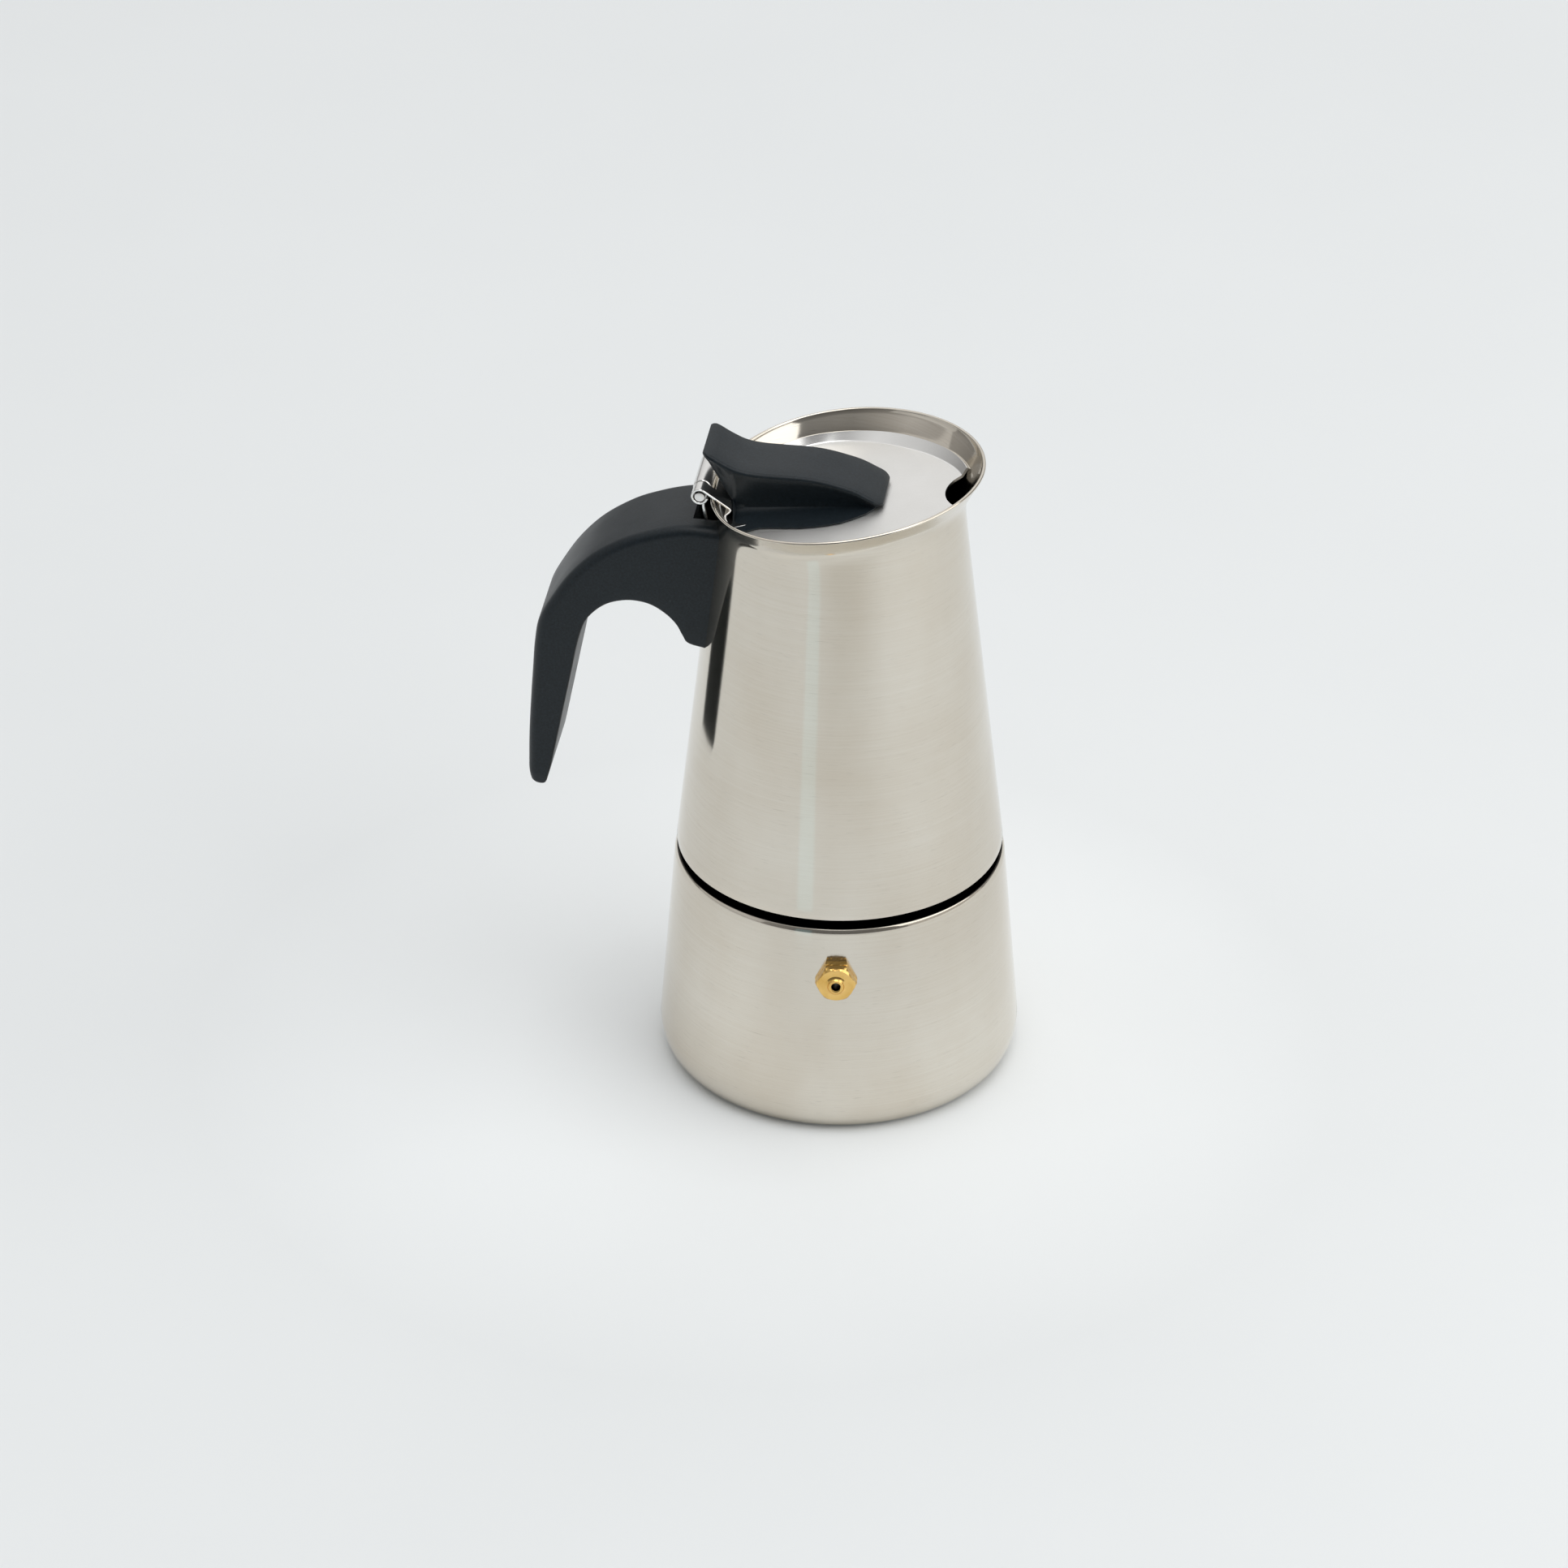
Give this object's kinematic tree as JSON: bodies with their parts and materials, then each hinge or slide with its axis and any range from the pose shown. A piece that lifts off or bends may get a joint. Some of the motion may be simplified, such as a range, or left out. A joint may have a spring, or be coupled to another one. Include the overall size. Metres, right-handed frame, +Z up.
{
  "type": "moka pot",
  "caption": "Stovetop espresso pot with a flared pouring rim, hinged lid with thumb lift, loop handle, screwed boiler and safety valve.",
  "frame": {"origin": "centre of the boiler's flat resting face", "axes": "+Z up along the pot's axis, +X toward the pouring rim, -X toward the handle, -Y on the safety valve's side"},
  "size_m": [0.1349, 0.1016, 0.189],
  "materials": {
    "brushed_steel": "fine horizontal brushing",
    "bright_steel": "smooth bright sheet",
    "inner_steel": "plain drawn sheet",
    "fastener_steel": "zinc plated",
    "valve_brass": "turned",
    "black_plastic": "matte, finely textured",
    "silicone": "translucent white",
    "red_fibre": "pressed fibre"
  },
  "bodies": {
    "boiler": {"boiler_shell": "brushed_steel", "boiler_base": "bright_steel", "boiler_neck": "inner_steel", "valve_body": "valve_brass", "valve_seal": "red_fibre", "valve_lock_nut": "valve_brass", "valve_cap": "valve_brass", "valve_spring": "fastener_steel"},
    "valve_poppet": {"valve_ball": "bright_steel"},
    "funnel": {"funnel_cup": "inner_steel", "funnel_tube": "inner_steel", "funnel_screen": "inner_steel"},
    "filter": {"filter_plate": "inner_steel"},
    "seal": {"gasket": "silicone"},
    "collector": {"collector_shell": "brushed_steel", "collector_floor": "inner_steel", "collector_thread_ring": "inner_steel", "chimney": "inner_steel", "chimney_cap": "inner_steel", "hinge_bracket": "bright_steel", "hinge_pin": "bright_steel", "handle": "black_plastic", "handle_screw": "fastener_steel"},
    "lid": {"lid_plate": "bright_steel", "lid_hinge_leaf": "bright_steel", "lid_knob": "black_plastic", "knob_screw_back": "fastener_steel", "knob_screw_front": "fastener_steel"}
  },
  "joints": [
    {"name": "valve_lift", "type": "slide", "parent": "boiler", "child": "valve_poppet", "axis": [0.1132, -0.9936, 0], "range_m": [0, 0.0008], "stiffness_N_per_m": 500, "springref_m": -0.001},
    {"name": "collector_lift", "type": "slide", "parent": "boiler", "child": "filter", "axis": [0, 0, 1], "range_m": [0, 0.15]},
    {"name": "collector_turn", "type": "hinge", "parent": "filter", "child": "seal", "pos_m": [0, 0, 0.08], "axis": [0, 0, 1], "range_deg": [0, 540]},
    {"name": "thread_rise", "type": "slide", "parent": "seal", "child": "collector", "axis": [0, 0, 1], "range_m": [0, 0.0046]},
    {"name": "funnel_lift", "type": "slide", "parent": "boiler", "child": "funnel", "axis": [0, 0, 1], "range_m": [0, 0.076]},
    {"name": "lid_hinge", "type": "hinge", "parent": "collector", "child": "lid", "pos_m": [-0.0368, 0, 0.1774], "axis": [0, -1, 0], "range_deg": [0, 105]}
  ],
  "couplings": [
    {"joint": "thread_rise", "follows": "collector_turn", "m_per_rad": 0.00047746},
    {"joint": "funnel_lift", "follows": "collector_lift", "ratio": 0.5}
  ]
}
